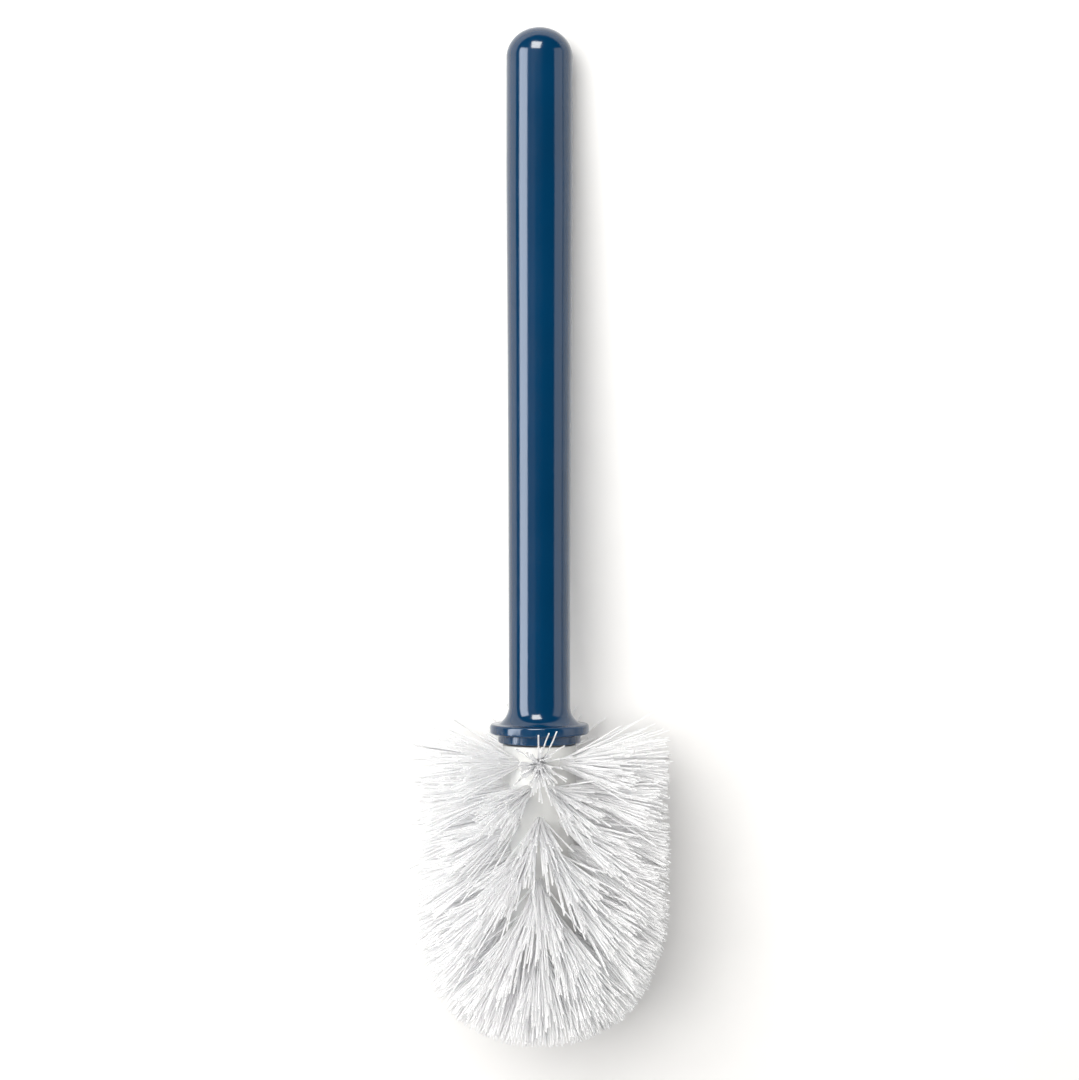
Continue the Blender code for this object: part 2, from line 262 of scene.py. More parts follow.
def finish_mesh(mesh, material, sharp_deg=32):
    """Give a mesh its material and shade it smooth but for its sharp edges."""
    mesh.materials.append(material)
    mesh.shade_smooth()
    mesh.set_sharp_from_angle(angle=math.radians(sharp_deg))
    return mesh


def give_material(node_name, material):
    """Assign a better material to a CAD node that keeps its shape."""
    node = frame["nodes"][node_name]
    node.data.materials.clear()
    node.data.materials.append(material)


# ---------------------------------------------------------------- meshes


def arc(centre_radius, centre_height, radius, start_deg, end_deg, steps, squash=1.0):
    """Points of an arc in the profile plane: 0 degrees points outwards and 90 up. squash scales height."""
    points = []
    for i in range(steps + 1):
        angle = math.radians(start_deg + (end_deg - start_deg) * i / steps)
        height = centre_height + squash * radius * math.sin(angle)
        points.append((centre_radius + radius * math.cos(angle), height))
    return points


def turned_mesh(name, profile, turns, radius_at=None, closed_profile=False):
    """Turn (radius, height) points about Z. radius_at(radius, height, turns) can shape each ring."""
    turns = np.asarray(turns)
    points = []
    rows = []
    for radius, height in profile:
        if radius < 1e-7:
            rows.append([len(points)])
            points.append((0.0, 0.0, height))
            continue
        radii = np.full(len(turns), radius) if radius_at is None else radius_at(radius, height, turns)
        rows.append(list(range(len(points), len(points) + len(turns))))
        points += list(zip(radii * np.cos(turns), radii * np.sin(turns), np.full(len(turns), height)))
    faces = []
    pairs = list(zip(rows, rows[1:]))
    if closed_profile:
        pairs.append((rows[-1], rows[0]))
    for upper, lower in pairs:
        for i in range(len(turns)):
            j = (i + 1) % len(turns)
            corners = [upper[i % len(upper)], lower[i % len(lower)]]
            corners += [lower[j % len(lower)], upper[j % len(upper)]]
            faces.append(list(dict.fromkeys(corners)))
    mesh = bpy.data.meshes.new(name)
    mesh.from_pydata(points, [], faces)
    mesh.validate()
    return mesh


def even_turns(count):
    return np.arange(count) * TURN / count


def handle_outline(sizes):
    """Outer profile of the handle, from the top of its dome down to the locating ring's underside."""
    dome_centre = BRUSH_LENGTH - sizes.dome_height
    outline = arc(0, dome_centre, sizes.handle_radius, 90, 0, 28, sizes.dome_height / sizes.handle_radius)
    taper_top = dome_centre - STRAIGHT_GRIP
    taper = sizes.neck_radius - sizes.handle_radius
    for i in range(31):
        share = i / 30
        radius = sizes.handle_radius + taper * math.sin(share * math.pi / 2)
        outline.append((radius, taper_top + (FLARE_TOP - taper_top) * share))
    flare_width = sizes.flare_radius - sizes.neck_radius
    flare_height = FLARE_TOP - FLANGE_TOP
    flare_turn = 2 * math.degrees(math.atan2(flare_width, flare_height))
    flare_arc = flare_height / math.sin(math.radians(flare_turn))
    outline += arc(sizes.neck_radius + flare_arc, FLARE_TOP, flare_arc, 180, 180 + flare_turn, 16)[1:]
    edge = sizes.edge_radius
    flange_edge = sizes.flange_radius - edge
    outline += arc(flange_edge, FLANGE_TOP - edge, edge, 90, 0, 8)
    outline += arc(flange_edge, FLANGE_UNDERSIDE + edge, edge, 0, -90, 8)
    corner_height = FLANGE_UNDERSIDE - RING_CORNER
    outline += arc(sizes.ring_radius + RING_CORNER, corner_height, RING_CORNER, 90, 180, 4)
    ring_edge = edge / 2
    outline += arc(sizes.ring_radius - ring_edge, RING_UNDERSIDE + ring_edge, ring_edge, 0, -90, 6)
    return outline


def handle_bore(sizes):
    """Inner profile of the handle, from its open bottom up to the inside of the dome."""
    seal_seat = COLLAR_TOP + GAP + SEAL_THICKNESS + GAP
    socket_stop = seal_seat + GAP + SOCKET_LENGTH + GAP
    cavity = sizes.handle_radius - HANDLE_WALL
    shoulder = SOCKET_BORE - SOCKET_SHOULDER
    points = [(SEAL_BORE + BORE_LEAD_IN, RING_UNDERSIDE), (SEAL_BORE, RING_UNDERSIDE + BORE_LEAD_IN)]
    points += [(SEAL_BORE, seal_seat), (SOCKET_BORE, seal_seat), (SOCKET_BORE, socket_stop)]
    points += [(shoulder, socket_stop), (shoulder, socket_stop + SHOULDER_LENGTH)]
    dome_centre = BRUSH_LENGTH - sizes.dome_height
    points += arc(0, dome_centre, cavity, 0, 90, 10, (sizes.dome_height - HANDLE_WALL) / cavity)
    return points


def handle_turns(sizes):
    """Turns for the handle's columns, with three extra ones along each parting line."""
    turns = set(even_turns(144).round(6))
    for degrees in PARTING_DEG:
        middle = math.radians(degrees) % TURN
        step = PARTING_HALF_WIDTH / sizes.flange_radius
        turns = {t for t in turns if abs(t - middle) > 2.2 * step}
        turns |= {middle - 2 * step, middle - step, middle, middle + step, middle + 2 * step}
    return sorted(t % TURN for t in turns)


def with_parting_line(radius, height, turns):
    """Raise the moulding's parting lines on the flange and the ring below it."""
    radii = np.full(len(turns), radius)
    if RING_UNDERSIDE + 0.1 * MM < height < FLANGE_TOP and radius > SEAL_BORE + MM:
        for degrees in PARTING_DEG:
            off = np.abs((turns - math.radians(degrees) + math.pi) % TURN - math.pi)
            radii += np.where(off < 0.6 * PARTING_HALF_WIDTH / radius, PARTING_PROUD, 0.0)
    return radii


def thread_profile(low, high, mean_radius):
    """Closely spaced rings down a thread's length, for a threaded radius_at to shape."""
    rows = round((high - low) / THREAD_PITCH * ROWS_PER_PITCH)
    return [(mean_radius, high + (low - high) * row / rows) for row in range(rows + 1)]


def threaded(mean_radius, low, high):
    """A radius_at that gives rings between two heights a right-handed round thread."""

    def radius_at(radius, height, turns):
        radii = np.full(len(turns), radius)
        if low - 1e-6 <= height <= high + 1e-6 and abs(radius - mean_radius) < 1e-6:
            fade = max(0.0, min(1.0, (height - low) / MM, (high - height) / MM))
            wave = np.cos(TURN * height / THREAD_PITCH - turns)
            radii += THREAD_HEIGHT * (wave * fade + fade - 1)
        return radii

    return radius_at


def core_profile(sizes):
    """The head's profile from the stud's end down over the collar and barrel to the domed end."""
    stud_top = COLLAR_TOP + STUD_LENGTH
    thread_low = COLLAR_TOP + STUD_NECK_LENGTH + 0.6 * MM
    thread_high = stud_top - 0.8 * MM
    root = THREAD_MEAN_RADIUS - THREAD_HEIGHT
    profile = [(0, stud_top), (root - 0.3 * MM, stud_top)]
    profile += thread_profile(thread_low, thread_high, THREAD_MEAN_RADIUS)
    profile += [(STUD_NECK_RADIUS, COLLAR_TOP + STUD_NECK_LENGTH)]
    profile += [(STUD_NECK_RADIUS, COLLAR_TOP + 0.3 * MM), (STUD_NECK_RADIUS + 0.3 * MM, COLLAR_TOP)]
    profile += arc(sizes.core_radius - COLLAR_EDGE, COLLAR_TOP - COLLAR_EDGE, COLLAR_EDGE, 90, 0, 5)
    profile += arc(0, CORE_DOME_CENTRE, sizes.core_radius, 0, -90, 20)
    return profile, threaded(THREAD_MEAN_RADIUS, thread_low, thread_high)


# ---------------------------------------------------------------- tufts


def row_height(row):
    """Height of the holes in one row; the first row sits a little closer to the second."""
    return SECOND_ROW - (row - 1) * ROW_PITCH if row else TOP_ROW


def row_tufts(sizes):
    """Name, turn about the axis, radius, height and droop of each tuft's root in the six full rows."""
    for row, droop_deg in enumerate(ROW_DROOP_DEG):
        droop = math.radians(droop_deg)
        for i in range(TUFTS_PER_ROW):
            turn = TURN * (i + (row % 2) / 2) / TUFTS_PER_ROW
            yield f"tuft_row{row + 1}_{i + 1}", turn, sizes.core_radius, row_height(row), droop


def end_tufts(sizes):
    """The same for the tufts round the head's domed end, from the seventh row in to the centre."""
    last_height = row_height(len(ROW_DROOP_DEG))
    last_droop = math.radians(LAST_ROW_DROOP_DEG)
    for i in range(TUFTS_PER_ROW):
        turn = TURN * i / TUFTS_PER_ROW
        yield f"end_row_{i + 1}", turn, sizes.core_radius, last_height, last_droop
    latitude = math.radians(END_RING_LATITUDE_DEG)
    ring_radius = sizes.core_radius * math.cos(latitude)
    ring_height = CORE_DOME_CENTRE - sizes.core_radius * math.sin(latitude)
    for i in range(END_RING_TUFTS):
        turn = TURN * (i + 0.5) / END_RING_TUFTS
        yield f"end_ring_{i + 1}", turn, ring_radius, ring_height, math.radians(END_RING_DROOP_DEG)
    yield "end_centre", 0.0, 0.0, CORE_DOME_CENTRE - sizes.core_radius, math.pi / 2


def tuft_frame(turn, radius, height, droop):
    """A matrix at a tuft's root whose -Y points out along the tuft and whose X lies across it."""
    root = Matrix.Translation((0, -radius, height))
    return Matrix.Rotation(turn, 4, "Z") @ root @ Matrix.Rotation(droop, 4, "X")


def outline_radius(height, tip_radius):
    """Distance from the axis to the trimmed tips at each height."""
    share = np.clip((END_CURVE_HEIGHT - height) / END_CURVE_HEIGHT, 0.0, 1.0)
    return tip_radius * (1 - share**END_CURVE_POWER) ** (1 / END_CURVE_POWER)


def filament_paths(place, sizes, random, spread, fan):
    """Centre lines of one tuft's filaments in the brush's frame, as an array (filament, ring, xyz).

    spread scales the tuft's splay. fan turns some of the filaments that lean towards the handle
    further over, which is how the first row's filaments lie.
    """
    count = sizes.filaments_per_tuft
    # spot runs from 0 in the middle of the bundle to 1 at its edge
    index = np.arange(count) + 0.5
    spot_turn = index * GOLDEN_TURN + random.uniform(0, TURN)
    spot = np.sqrt(index / count)
    packed = (HOLE_RADIUS - GAP - sizes.filament_diameter / 2) * spot
    away = spot_turn + random.normal(0, 0.28, count)
    lean = spread * sizes.splay * (0.05 + 0.95 * spot**1.2) * (1 + random.normal(0, 0.14, count))
    stray = (random.random(count) < STRAY_SHARE) & (spot > 0.5)
    lean = np.where(stray, lean * random.uniform(*STRAY_LEAN, count), lean)
    up = np.cos(away)
    lean = np.minimum(lean * (1 + fan * np.clip(up, 0, 1) * random.random(count) ** 3), MOST_LEAN)
    root = np.stack([packed * np.sin(spot_turn), np.zeros(count), packed * np.cos(spot_turn)], axis=1)
    heading = np.stack([np.sin(lean) * np.sin(away), -np.cos(lean), np.sin(lean) * up], axis=1)
    bend_turn = away + random.normal(0, 0.8, count)
    bend = random.normal(0.7, 0.8, count) * (2.6 - 1.6 * spot) * MM
    aside = np.stack([np.sin(bend_turn), np.zeros(count), np.cos(bend_turn)], axis=1)
    turn_matrix = np.array(place.to_3x3())
    offset = np.array(place.translation)

    def along(s):
        """Points at distances s (filament, n) past each hole's mouth."""
        out = np.clip(s, 0, None)[..., None]
        straight = np.stack([np.zeros_like(s), -np.clip(s, None, 0), np.zeros_like(s)], axis=-1)
        local = root[:, None] + straight + heading[:, None] * out
        local = local + aside[:, None] * (out / BEND_LENGTH) ** 2 * bend[:, None, None]
        return local @ turn_matrix.T + offset

    # Each filament is followed outwards until it leaves the trimmed outline or meets the floor
    reach = np.linspace(0, LONGEST, TRIAL_POINTS)
    trial = along(np.broadcast_to(reach, (count, len(reach))))
    radial = np.hypot(trial[..., 0], trial[..., 1])
    cut = sizes.tip_radius + random.normal(0, 0.35, count) * MM
    missed = random.random(count) < LONG_TIP_SHARE
    cut = np.where(missed, cut + random.uniform(*LONG_TIP, count) * MM, cut)
    limit = outline_radius(trial[..., 2], cut[:, None])
    down = np.array(BRUSH.to_3x3())[2]
    above_floor = trial @ down + BRUSH.translation.z - FLOOR_CLEARANCE
    inside = (radial < limit) & (above_floor > 0) & (trial[..., 2] > LOWEST_TIP)
    last = np.argmin(inside, axis=1)
    length = reach[np.clip(last, 4, None)] - TIP_MARGIN
    rooted = np.tile([BURIED_END, MOUTH], (count, 1))
    beyond = MOUTH + (length[:, None] - MOUTH) * RING_SHARES
    return along(np.concatenate([rooted, beyond], axis=1))


def tube_mesh(name, paths, radii, sides, across):
    """Closed tubes with flat-cut ends round centre lines (tube, ring, xyz), one radius to a ring."""
    count, rings, _ = paths.shape
    tangent = np.gradient(paths, axis=1)
    tangent /= np.linalg.norm(tangent, axis=2, keepdims=True)
    side = np.cross(tangent, across)
    side /= np.linalg.norm(side, axis=2, keepdims=True)
    other = np.cross(tangent, side)
    turns = even_turns(sides)
    offset = side[:, :, None] * np.cos(turns)[None, None, :, None]
    offset = offset + other[:, :, None] * np.sin(turns)[None, None, :, None]
    points = (paths[:, :, None] + offset * radii[:, :, None, None]).reshape(-1, 3)
    faces = []
    for tube in range(count):
        start = tube * rings * sides
        for ring in range(rings - 1):
            low = start + ring * sides
            for i in range(sides):
                j = (i + 1) % sides
                faces.append((low + i, low + j, low + sides + j, low + sides + i))
        faces.append(tuple(start + i for i in reversed(range(sides))))
        top = start + (rings - 1) * sides
        faces.append(tuple(top + i for i in range(sides)))
    mesh = bpy.data.meshes.new(name)
    mesh.from_pydata(points.tolist(), [], faces)
    return mesh


# ---------------------------------------------------------------- materials


def add_node(tree, kind, settings=None, values=None, links=None):
    """Add a node to a tree with its settings, its socket values and the links into it."""
    node = tree.nodes.new(kind)
    for key, value in (settings or {}).items():
        setattr(node, key, value)
    for key, value in (values or {}).items():
        node.inputs[key].default_value = value
    for key, socket in (links or {}).items():
        tree.links.new(socket, node.inputs[key])
    return node


def blank_material(name):
    """A new material with only a Principled shader, and its shader and node tree."""
    material = bpy.data.materials.new(name)
    material.use_nodes = True
    tree = material.node_tree
    shader = tree.nodes["Principled BSDF"]
    return material, tree, shader


def set_ramp(node, stops):
    """Give a ColorRamp node its (position, colour) stops."""
    ramp = node.color_ramp
    while len(ramp.elements) < len(stops):
        ramp.elements.new(0.5)
    for element, (position, colour) in zip(ramp.elements, stops):
        element.position = position
        element.color = (*colour, 1.0)


def shade(colour, factor):
    """A colour made darker or lighter."""
    return [min(1.0, c * factor) for c in colour]


def moulded_abs(colour):
    """Injection-moulded gloss ABS: a hard, even shine that a faint orange peel just ripples."""
    material, tree, shader = blank_material("moulded_gloss_abs")
    place = add_node(tree, "ShaderNodeTexCoord").outputs["Object"]
    # Pigment flow about 25 mm across
    flow = add_node(tree, "ShaderNodeTexNoise", None, {"Scale": 40.0, "Detail": 3.0}, {"Vector": place})
    tint = add_node(tree, "ShaderNodeValToRGB", None, None, {"Fac": flow.outputs["Fac"]})
    set_ramp(tint, [(0.3, shade(colour, 0.94)), (0.7, shade(colour, 1.06))])
    # Orange peel about 3 mm from crest to crest
    peel = add_node(tree, "ShaderNodeTexNoise", None, {"Scale": 330.0, "Detail": 1.0}, {"Vector": place})
    bump = add_node(
        tree, "ShaderNodeBump", None, {"Strength": 0.06, "Distance": 0.0001}, {"Height": peel.outputs["Fac"]}
    )
    # Handling haze about 20 mm across
    haze = add_node(tree, "ShaderNodeTexNoise", None, {"Scale": 50.0, "Detail": 4.0}, {"Vector": place})
    rough = add_node(
        tree,
        "ShaderNodeMapRange",
        None,
        {"From Min": 0.3, "From Max": 0.7, "To Min": 0.10, "To Max": 0.16},
        {"Value": haze.outputs["Fac"]},
    )
    tree.links.new(tint.outputs["Color"], shader.inputs["Base Color"])
    tree.links.new(rough.outputs["Result"], shader.inputs["Roughness"])
    tree.links.new(bump.outputs["Normal"], shader.inputs["Normal"])
    shader.inputs["IOR"].default_value = 1.54
    return material


def satin_moulding(name, colour, roughness):
    """Injection-moulded polypropylene or nylon: a soft satin with a waxy, slightly uneven surface."""
    material, tree, shader = blank_material(name)
    place = add_node(tree, "ShaderNodeTexCoord").outputs["Object"]
    # Pigment flow about 14 mm across
    flow = add_node(tree, "ShaderNodeTexNoise", None, {"Scale": 70.0, "Detail": 3.0}, {"Vector": place})
    tint = add_node(tree, "ShaderNodeValToRGB", None, None, {"Fac": flow.outputs["Fac"]})
    set_ramp(tint, [(0.3, shade(colour, 0.93)), (0.7, colour)])
    # Spark-eroded mould texture about 0.8 mm from crest to crest
    grain = add_node(tree, "ShaderNodeTexNoise", None, {"Scale": 1250.0, "Detail": 2.0}, {"Vector": place})
    bump = add_node(
        tree, "ShaderNodeBump", None, {"Strength": 0.15, "Distance": 0.0001}, {"Height": grain.outputs["Fac"]}
    )
    tree.links.new(tint.outputs["Color"], shader.inputs["Base Color"])
    tree.links.new(bump.outputs["Normal"], shader.inputs["Normal"])
    shader.inputs["Roughness"].default_value = roughness
    shader.inputs["IOR"].default_value = 1.49
    return material


def drawn_filament(colour):
    """Drawn polypropylene filament: bright, slightly translucent, with a silky shine along each one."""
    material, tree, shader = blank_material("drawn_bristle_filament")
    place = add_node(tree, "ShaderNodeTexCoord").outputs["Object"]
    # Neighbouring bristles, about 1 mm apart, differ slightly in whiteness
    strand = add_node(tree, "ShaderNodeTexNoise", None, {"Scale": 900.0, "Detail": 1.0}, {"Vector": place})
    tint = add_node(tree, "ShaderNodeValToRGB", None, None, {"Fac": strand.outputs["Fac"]})
    set_ramp(tint, [(0.35, shade(colour, 0.96)), (0.65, colour)])
    tree.links.new(tint.outputs["Color"], shader.inputs["Base Color"])
    shader.inputs["Roughness"].default_value = 0.32
    shader.inputs["IOR"].default_value = 1.49
    shader.inputs["Subsurface Weight"].default_value = 0.6
    shader.inputs["Subsurface Radius"].default_value = (1.0, 1.0, 1.0)
    shader.inputs["Subsurface Scale"].default_value = 1.8 * MM
    return material


def moulded_rubber(colour):
    """Moulded nitrile rubber: near black, with a dull bloom."""
    material, tree, shader = blank_material("moulded_nitrile_rubber")
    place = add_node(tree, "ShaderNodeTexCoord").outputs["Object"]
    # Bloom speckle about 1.7 mm across
    bloom = add_node(tree, "ShaderNodeTexNoise", None, {"Scale": 600.0, "Detail": 3.0}, {"Vector": place})
    tint = add_node(tree, "ShaderNodeValToRGB", None, None, {"Fac": bloom.outputs["Fac"]})
    set_ramp(tint, [(0.3, colour), (0.75, shade(colour, 1.8))])
    tree.links.new(tint.outputs["Color"], shader.inputs["Base Color"])
    shader.inputs["Roughness"].default_value = 0.62
    shader.inputs["IOR"].default_value = 1.52
    return material


def painted_floor(colour, near, far):
    """Matt painted board that fades out into the surround between two distances from its middle."""
    material, tree, shader = blank_material("matt_painted_floor")
    place = add_node(tree, "ShaderNodeTexCoord").outputs["Object"]
    # Faint roller marks about 17 mm across
    grain = add_node(tree, "ShaderNodeTexNoise", None, {"Scale": 60.0, "Detail": 3.0}, {"Vector": place})
    tint = add_node(tree, "ShaderNodeValToRGB", None, None, {"Fac": grain.outputs["Fac"]})
    set_ramp(tint, [(0.3, shade(colour, 0.985)), (0.7, colour)])
    distance = add_node(tree, "ShaderNodeVectorMath", {"operation": "LENGTH"}, None, {0: place})
    fade = add_node(
        tree,
        "ShaderNodeMapRange",
        {"interpolation_type": "SMOOTHSTEP"},
        {"From Min": near, "From Max": far, "To Min": 1.0, "To Max": 0.0},
        {"Value": distance.outputs["Value"]},
    )
    tree.links.new(tint.outputs["Color"], shader.inputs["Base Color"])
    tree.links.new(fade.outputs["Result"], shader.inputs["Alpha"])
    shader.inputs["Roughness"].default_value = 0.9
    shader.inputs["Specular IOR Level"].default_value = 0.15
    return material


# ---------------------------------------------------------------- operators


class BrushOperator:
    """What the brush's operators share: they can be undone and they write to the scene."""

    bl_options = {"REGISTER", "UNDO"}

    def sizes(self, context):
        return context.scene.brush_sizes

    def colours(self, context):
        return context.scene.brush_colours


class TOILETBRUSH_OT_handle(BrushOperator, bpy.types.Operator):
    """Make the hollow handle moulding with its dome, flare, flange and locating ring"""

    bl_idname = "toiletbrush.handle"
    bl_label = "Handle"

    def execute(self, context):
        sizes = self.sizes(context)
        profile = handle_outline(sizes) + handle_bore(sizes)
        mesh = turned_mesh("handle_moulding", profile, handle_turns(sizes), with_parting_line)
        finish_mesh(mesh, moulded_abs(self.colours(context).handle))
        add_piece("handle_moulding", mesh, "handle", ["handle_shell"])
        return {"FINISHED"}


class TOILETBRUSH_OT_socket(BrushOperator, bpy.types.Operator):
    """Finish the threaded nylon insert in the bottom of the handle"""

    bl_idname = "toiletbrush.socket"
    bl_label = "Threaded insert"

    def execute(self, context):
        material = satin_moulding("moulded_nylon_insert", self.colours(context).socket, 0.4)
        give_material("thread_socket", material)
        return {"FINISHED"}


class TOILETBRUSH_OT_seal(BrushOperator, bpy.types.Operator):
    """Make the rubber sealing ring on the neck of the stud"""

    bl_idname = "toiletbrush.seal"
    bl_label = "Sealing ring"

    def execute(self, context):
        low = COLLAR_TOP + GAP + SEAL_EASE
        high = COLLAR_TOP + GAP + SEAL_THICKNESS - SEAL_EASE
        inner = SEAL_INNER + SEAL_EASE
        outer = SEAL_OUTER - SEAL_EASE
        profile = arc(outer, high, SEAL_EASE, 90, 0, 4)
        profile += arc(outer, low, SEAL_EASE, 0, -90, 4)
        profile += arc(inner, low, SEAL_EASE, -90, -180, 4)
        profile += arc(inner, high, SEAL_EASE, 180, 90, 4)
        mesh = turned_mesh("rubber_seal", profile, even_turns(96), closed_profile=True)
        finish_mesh(mesh, moulded_rubber(self.colours(context).seal))
        add_piece("rubber_seal", mesh, "seal", ["sealing_ring"])
        return {"FINISHED"}


class TOILETBRUSH_OT_core(BrushOperator, bpy.types.Operator):
    """Make the head's core with its threaded stud, collar and tuft holes"""

    bl_idname = "toiletbrush.core"
    bl_label = "Head core"

    def execute(self, context):
        sizes = self.sizes(context)
        profile, radius_at = core_profile(sizes)
        mesh = turned_mesh("head_core", profile, even_turns(96), radius_at)
        core = bpy.data.objects.new("head_core_blank", mesh)
        context.scene.collection.objects.link(core)
        cutter = bpy.data.objects.new("head_core_cutter", self.hole_cutters(sizes))
        context.scene.collection.objects.link(cutter)
        cut = core.modifiers.new("holes", "BOOLEAN")
        cut.operation = "DIFFERENCE"
        cut.object = cutter
        graph = context.evaluated_depsgraph_get()
        drilled = bpy.data.meshes.new_from_object(core.evaluated_get(graph))
        drilled.name = "head_core"
        for helper in (core, cutter):
            bpy.data.objects.remove(helper)
        drilled.materials.clear()
        material = satin_moulding("moulded_satin_polypropylene", self.colours(context).head, 0.55)
        finish_mesh(drilled, material)
        add_piece("head_core", drilled, "head", ["brush_core"])
        return {"FINISHED"}

    def hole_cutters(self, sizes):
        """All the hole cutters in one mesh, each a plain closed drum with an eased mouth."""
        points = []
        faces = []
        sides = HOLE_SIDES
        mouth = (HOLE_RADIUS + HOLE_EASE, HOLE_CUTTER_PROUD)
        profile = ((HOLE_RADIUS, -HOLE_DEPTH), (HOLE_RADIUS, -HOLE_EASE_DEPTH), mouth)
        for _, *numbers in [*row_tufts(sizes), *end_tufts(sizes)]:
            place = tuft_frame(*numbers)
            start = len(points)
            for radius, along in profile:
                for turn in even_turns(sides):
                    spot = Vector((radius * math.sin(turn), -along, radius * math.cos(turn)))
                    points.append(place @ spot)
            for ring in range(len(profile) - 1):
                low = start + ring * sides
                for i in range(sides):
                    j = (i + 1) % sides
                    faces.append((low + i, low + j, low + sides + j, low + sides + i))
            faces.append(tuple(start + i for i in reversed(range(sides))))
            faces.append(tuple(start + 2 * sides + i for i in range(sides)))
        mesh = bpy.data.meshes.new("head_core_cutter")
        mesh.from_pydata(points, [], faces)
        return mesh


class TOILETBRUSH_OT_tufts(BrushOperator, bpy.types.Operator):
    """Make every tuft as its own bundle of separate filaments, trimmed to the head's outline"""

    bl_idname = "toiletbrush.tufts"
    bl_label = "Bristle tufts"

    def execute(self, context):
        sizes = self.sizes(context)
        material = drawn_filament(self.colours(context).bristle)
        seed = FIRST_SEED
        for name, *numbers in row_tufts(sizes):
            fan = FIRST_ROW_FAN if name.startswith("tuft_row1") else 0.0
            bristles = self.bundle(sizes, numbers, seed, 1.0, fan)
            self.add_bristles(name.replace("tuft", "bristles"), [bristles], material, sizes, name)
            seed += 1
        bundles = []
        for name, *numbers in end_tufts(sizes):
            bundles.append(self.bundle(sizes, numbers, seed, END_SPREAD, 0.0))
            seed += 1
        self.add_bristles("bristles_end", bundles, material, sizes, "tufts_end")
        return {"FINISHED"}

    def bundle(self, sizes, numbers, seed, spread, fan):
        """One tuft's centre lines, and the direction across it."""
        place = tuft_frame(*numbers)
        random = np.random.default_rng(seed)
        filaments = filament_paths(place, sizes, random, spread, fan)
        middle = np.array([place @ Vector((0, -station, 0)) for station in MIDDLE_STATIONS])
        across = np.array(place.to_3x3() @ Vector((1, 0, 0)))
        return np.concatenate([filaments, middle[None]]), across

    def add_bristles(self, name, bundles, material, sizes, node):
        """Make one piece of one or more tufts, in place of a CAD node."""
        paths = np.concatenate([lines for lines, _ in bundles])
        across = np.concatenate([np.broadcast_to(side, lines.shape) for lines, side in bundles])
        radii = [ROOT_SWELL * sizes.filament_diameter / 2] * sizes.filaments_per_tuft + [MIDDLE_RADII]
        radii = np.array(radii * len(bundles))
        mesh = tube_mesh(name, paths, radii, FILAMENT_SIDES, across)
        finish_mesh(mesh, material, 60)
        add_piece(name, mesh, "head", [node])


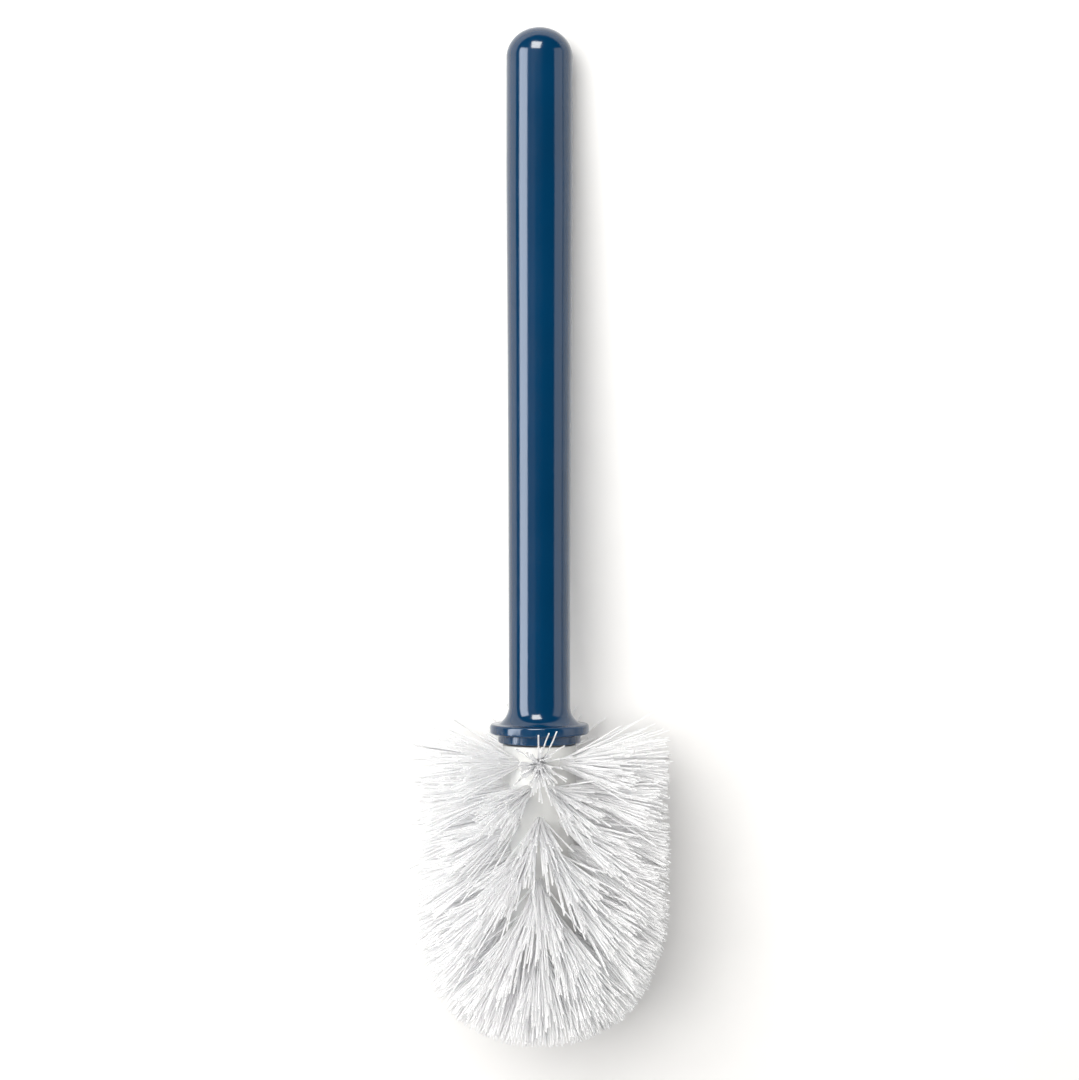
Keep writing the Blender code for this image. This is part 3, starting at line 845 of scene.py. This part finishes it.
class TOILETBRUSH_OT_stage(BrushOperator, bpy.types.Operator):
    """Make the floor, the lights and the camera"""

    bl_idname = "toiletbrush.stage"
    bl_label = "Stage"

    def execute(self, context):
        self.make_floor(context)
        self.make_surround(context)
        middle = BRUSH @ Vector((0, 0, BRUSH_MIDDLE))
        self.make_camera(context, middle)
        for light in LIGHTS:
            self.make_light(context, middle, *light)
        return {"FINISHED"}

    def make_floor(self, context):
        """A round board under the brush."""
        rings = []
        points = [(0.0, 0.0, 0.0)]
        faces = []
        for radius in FLOOR_RINGS:
            rings.append(list(range(len(points), len(points) + FLOOR_SIDES)))
            points += [(radius * math.cos(t), radius * math.sin(t), 0.0) for t in even_turns(FLOOR_SIDES)]
        for i in range(FLOOR_SIDES):
            j = (i + 1) % FLOOR_SIDES
            faces.append((0, rings[0][i], rings[0][j]))
            for inner, outer in zip(rings, rings[1:]):
                faces.append((inner[i], outer[i], outer[j], inner[j]))
        mesh = bpy.data.meshes.new("floor")
        mesh.from_pydata(points, [], faces)
        mesh.materials.append(painted_floor(self.colours(context).floor, *FLOOR_FADE))
        floor = bpy.data.objects.new("floor", mesh)
        context.scene.collection.objects.link(floor)

    def make_surround(self, context):
        """A white surround that fills the matt surfaces' shadows and stays out of the gloss."""
        world = bpy.data.worlds.new("surround")
        context.scene.world = world
        world.use_nodes = True
        tree = world.node_tree
        path = add_node(tree, "ShaderNodeLightPath")
        strength = add_node(
            tree,
            "ShaderNodeMapRange",
            None,
            {"To Min": SURROUND_FILL, "To Max": 1.0},
            {"Value": path.outputs["Is Camera Ray"]},
        )
        tree.nodes["Background"].inputs["Color"].default_value = (1.0, 1.0, 1.0, 1.0)
        tree.links.new(strength.outputs["Result"], tree.nodes["Background"].inputs["Strength"])
        world.cycles_visibility.glossy = False
        context.scene.view_settings.view_transform = "Standard"
        context.scene.cycles.diffuse_bounces = DIFFUSE_BOUNCES

    def make_camera(self, context, middle):
        """A camera square to the brush's axis, above its middle."""
        lens = bpy.data.cameras.new("camera")
        lens.lens = CAMERA_LENS
        lens.sensor_width = SENSOR_WIDTH
        camera = bpy.data.objects.new("camera", lens)
        context.scene.collection.objects.link(camera)
        back = (BRUSH.to_3x3() @ Vector((0, -1, 0))).normalized()
        up = (BRUSH.to_3x3() @ Vector((0, 0, 1))).normalized()
        turn = Matrix((up.cross(back), up, back)).transposed()
        camera.matrix_world = Matrix.Translation(middle + back * CAMERA_DISTANCE) @ turn.to_4x4()
        context.scene.camera = camera

    def make_light(
        self, context, middle, name, left_deg, tip_deg, distance, size, radiance, colour, gloss, matt
    ):
        """An area light aimed at the brush, turned to the left and towards the handle's end of overhead."""
        light = bpy.data.lights.new(name, "AREA")
        light.shape = "RECTANGLE"
        light.size, light.size_y = size
        light.energy = radiance * math.pi * size[0] * size[1]
        light.color = linear_from_hex(colour)
        holder = bpy.data.objects.new(name, light)
        holder.visible_glossy = gloss
        holder.visible_diffuse = matt
        context.scene.collection.objects.link(holder)
        left = math.radians(left_deg)
        tip = math.radians(tip_deg)
        flat = math.cos(tip)
        towards = Vector((-math.sin(left) * flat, math.sin(tip), math.cos(left) * flat))
        holder.matrix_world = Matrix.Translation(middle + towards * distance) @ aimed(towards)


def aimed(towards):
    """A rotation whose Z points along towards and whose Y stays as near the world's Y as it can."""
    across = Vector((0, 1, 0)).cross(towards).normalized()
    return Matrix((across, towards.cross(across), towards)).transposed().to_4x4()


OPERATORS = (
    TOILETBRUSH_OT_handle,
    TOILETBRUSH_OT_socket,
    TOILETBRUSH_OT_seal,
    TOILETBRUSH_OT_core,
    TOILETBRUSH_OT_tufts,
    TOILETBRUSH_OT_stage,
)


class TOILETBRUSH_PT_build(bpy.types.Panel):
    """Lists the brush's pieces, sizes and colours"""

    bl_idname = "TOILETBRUSH_PT_build"
    bl_label = "Toilet Brush"
    bl_space_type = "VIEW_3D"
    bl_region_type = "UI"
    bl_category = "Toilet Brush"

    def draw(self, context):
        for operator in OPERATORS:
            self.layout.operator(operator.bl_idname)
        for group in (context.scene.brush_sizes, context.scene.brush_colours):
            column = self.layout.column()
            for name in group.__annotations__:
                column.prop(group, name)


CLASSES = (BrushSizes, BrushColours, *OPERATORS, TOILETBRUSH_PT_build)


def register():
    for cls in CLASSES:
        bpy.utils.register_class(cls)
    bpy.types.Scene.brush_sizes = PointerProperty(type=BrushSizes)
    bpy.types.Scene.brush_colours = PointerProperty(type=BrushColours)


def unregister():
    del bpy.types.Scene.brush_colours
    del bpy.types.Scene.brush_sizes
    for cls in reversed(CLASSES):
        bpy.utils.unregister_class(cls)


def main():
    register()
    bpy.ops.toiletbrush.handle()
    bpy.ops.toiletbrush.socket()
    bpy.ops.toiletbrush.seal()
    bpy.ops.toiletbrush.core()
    bpy.ops.toiletbrush.tufts()
    bpy.ops.toiletbrush.stage()


if __name__ == "__main__":
    main()
